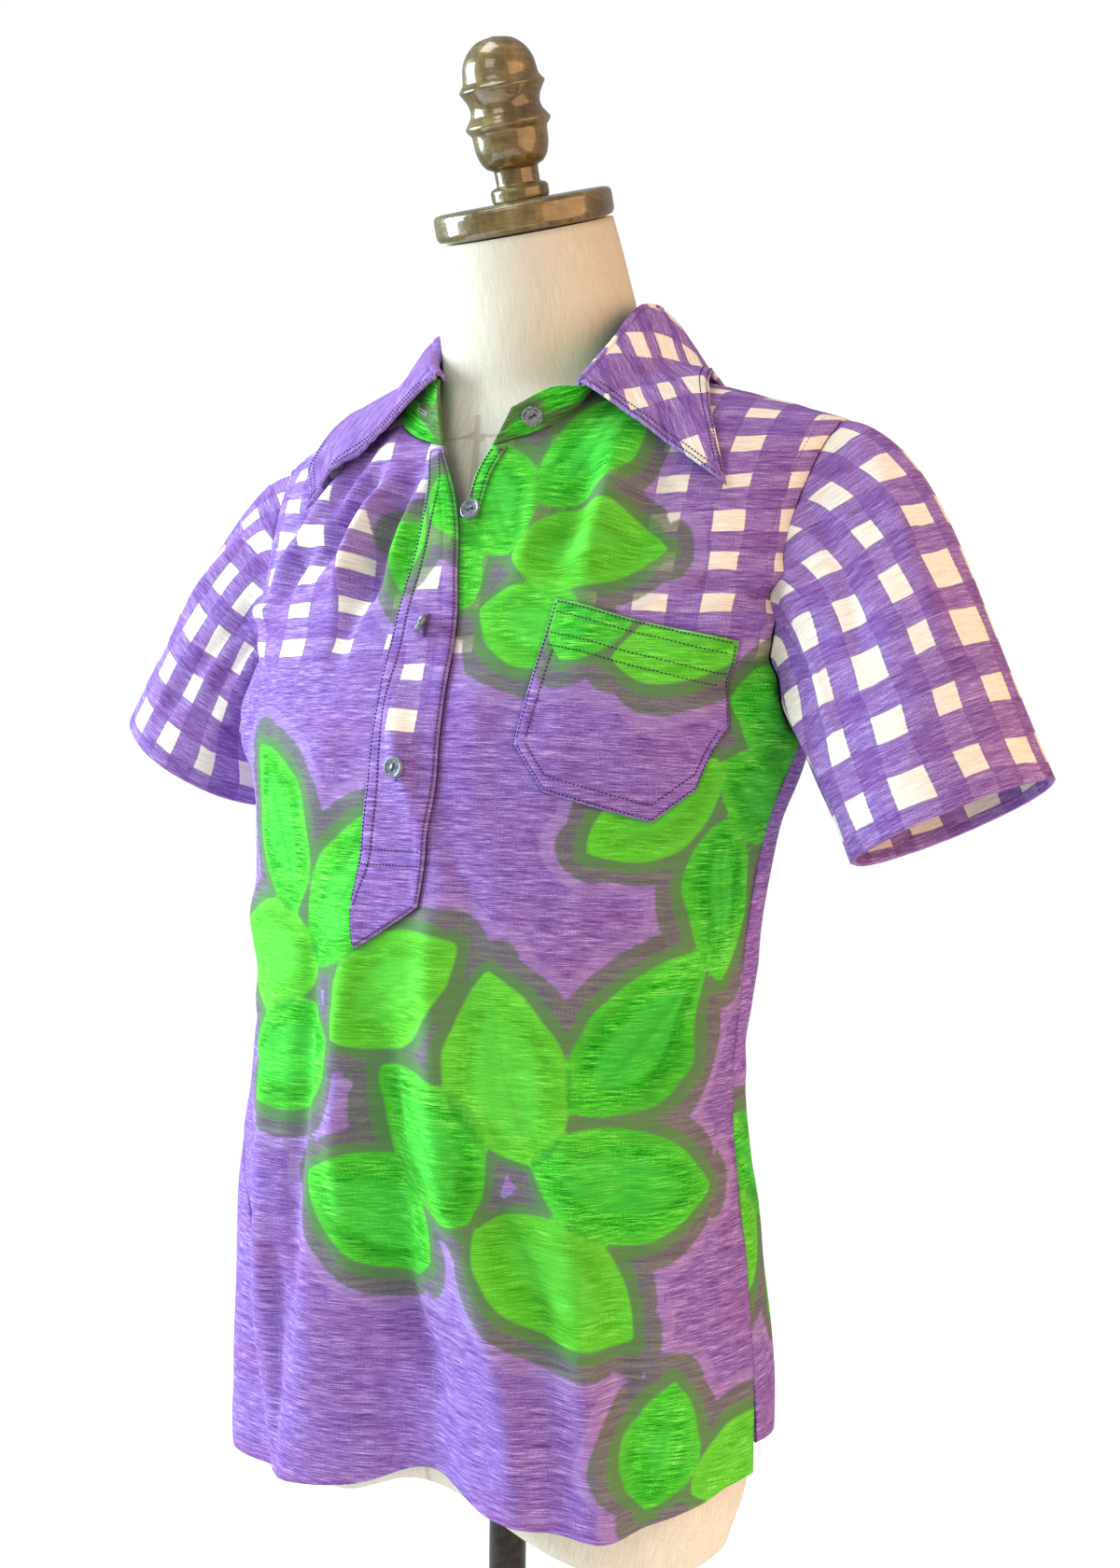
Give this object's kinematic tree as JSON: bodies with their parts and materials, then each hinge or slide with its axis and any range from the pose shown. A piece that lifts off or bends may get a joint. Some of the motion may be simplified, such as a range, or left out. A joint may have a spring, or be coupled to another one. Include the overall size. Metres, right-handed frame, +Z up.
{
  "type": "polo shirt on a dress form",
  "caption": "Short-sleeved pull-on polo shirt with a long-pointed collar, half placket and chest pocket, worn by a limbless dress form on a round-based pole.",
  "frame": {"origin": "centre of the underside of the stand's base", "axes": "+Z up, -Y the way the front faces, +X the wearer's left side"},
  "size_m": [0.584, 0.3, 1.03],
  "materials": {
    "front_knit": "heathered knit, matt",
    "back_knit": "heathered knit, matt",
    "sleeve_left_knit": "heathered knit, matt",
    "sleeve_right_knit": "heathered knit, matt",
    "band_knit": "heathered knit, matt",
    "leaf_knit": "heathered knit, matt",
    "placket_knit": "heathered knit, matt",
    "under_knit": "heathered knit, matt",
    "pocket_knit": "heathered knit, matt",
    "pearl": "pearly",
    "linen": "plain-woven linen",
    "lacquer": "dark lacquer",
    "dark_iron": "satin"
  },
  "bodies": {
    "root": {"front": "front_knit", "back": "back_knit", "sleeve_left": "sleeve_left_knit", "sleeve_right": "sleeve_right_knit", "collar_band": "band_knit", "collar_leaf": "leaf_knit", "placket_upper": "placket_knit", "placket_under": "under_knit", "pocket": "pocket_knit", "button_1": "pearl", "button_2": "pearl", "button_3": "pearl", "button_4": "pearl", "form_torso": "linen", "neck_cap": "lacquer", "finial": "lacquer", "pole": "dark_iron", "base": "dark_iron"}
  },
  "joints": []
}
